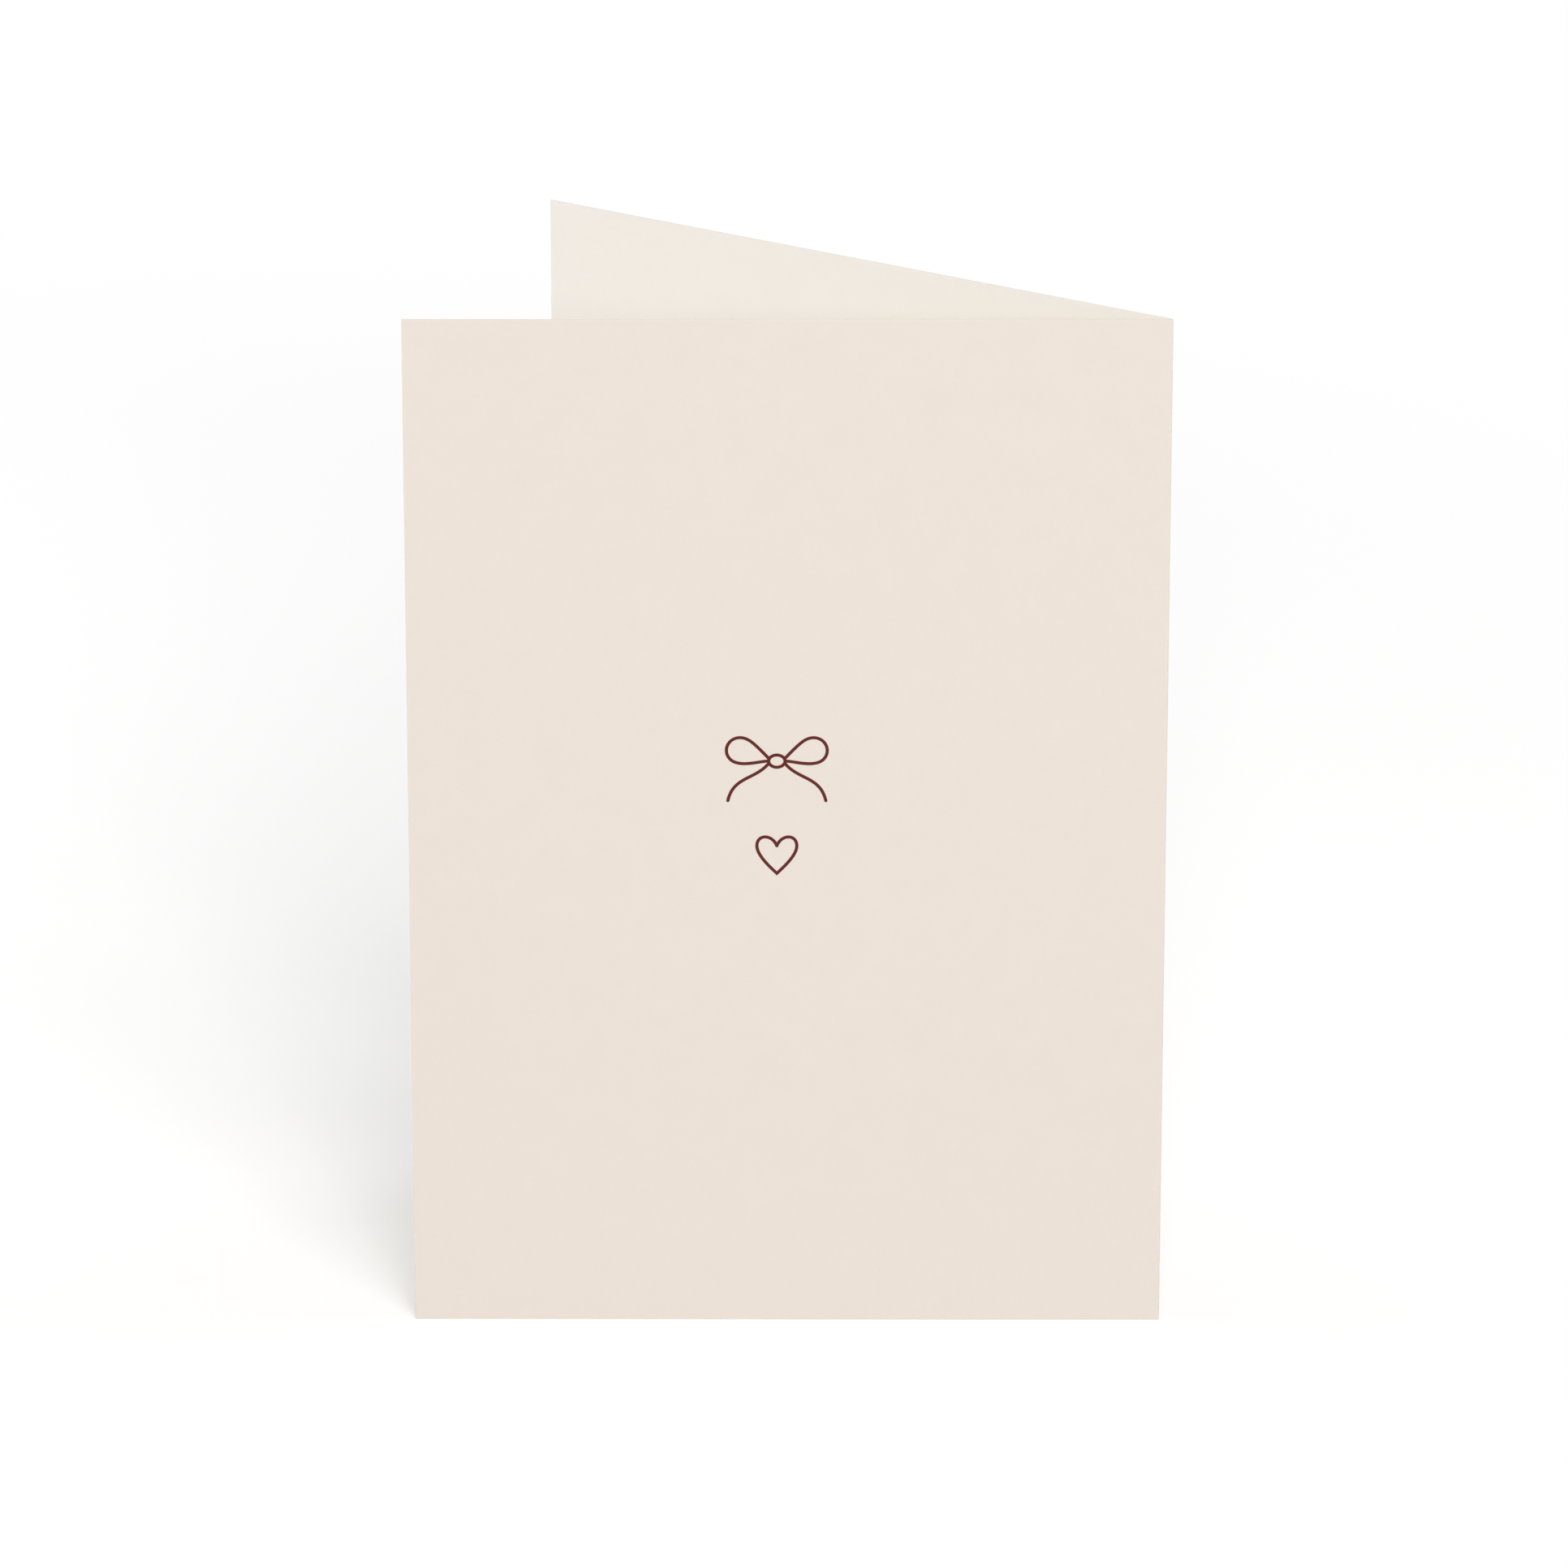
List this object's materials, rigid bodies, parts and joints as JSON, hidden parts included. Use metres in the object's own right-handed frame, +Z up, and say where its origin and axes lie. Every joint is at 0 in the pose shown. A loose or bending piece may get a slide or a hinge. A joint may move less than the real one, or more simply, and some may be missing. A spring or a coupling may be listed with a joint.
{
  "type": "greeting card",
  "caption": "Upright folded greeting card standing open on its bottom edges, its plain cream front printed with a line-drawn bow over a heart outline.",
  "frame": {"origin": "middle of the card's footprint, at the height of its bottom edges", "axes": "+Z up along the fold, +X towards the fold, -Y the way the printed front panel faces"},
  "size_m": [0.127, 0.073, 0.1778],
  "materials": {
    "card_stock": "uncoated matt cover stock, warm cream, with a slightly lighter inside",
    "ink": "matt burgundy brown offset ink soaked into the paper"
  },
  "bodies": {
    "root": {"card": "card_stock", "bow_print": "ink", "heart_print": "ink"}
  },
  "joints": []
}
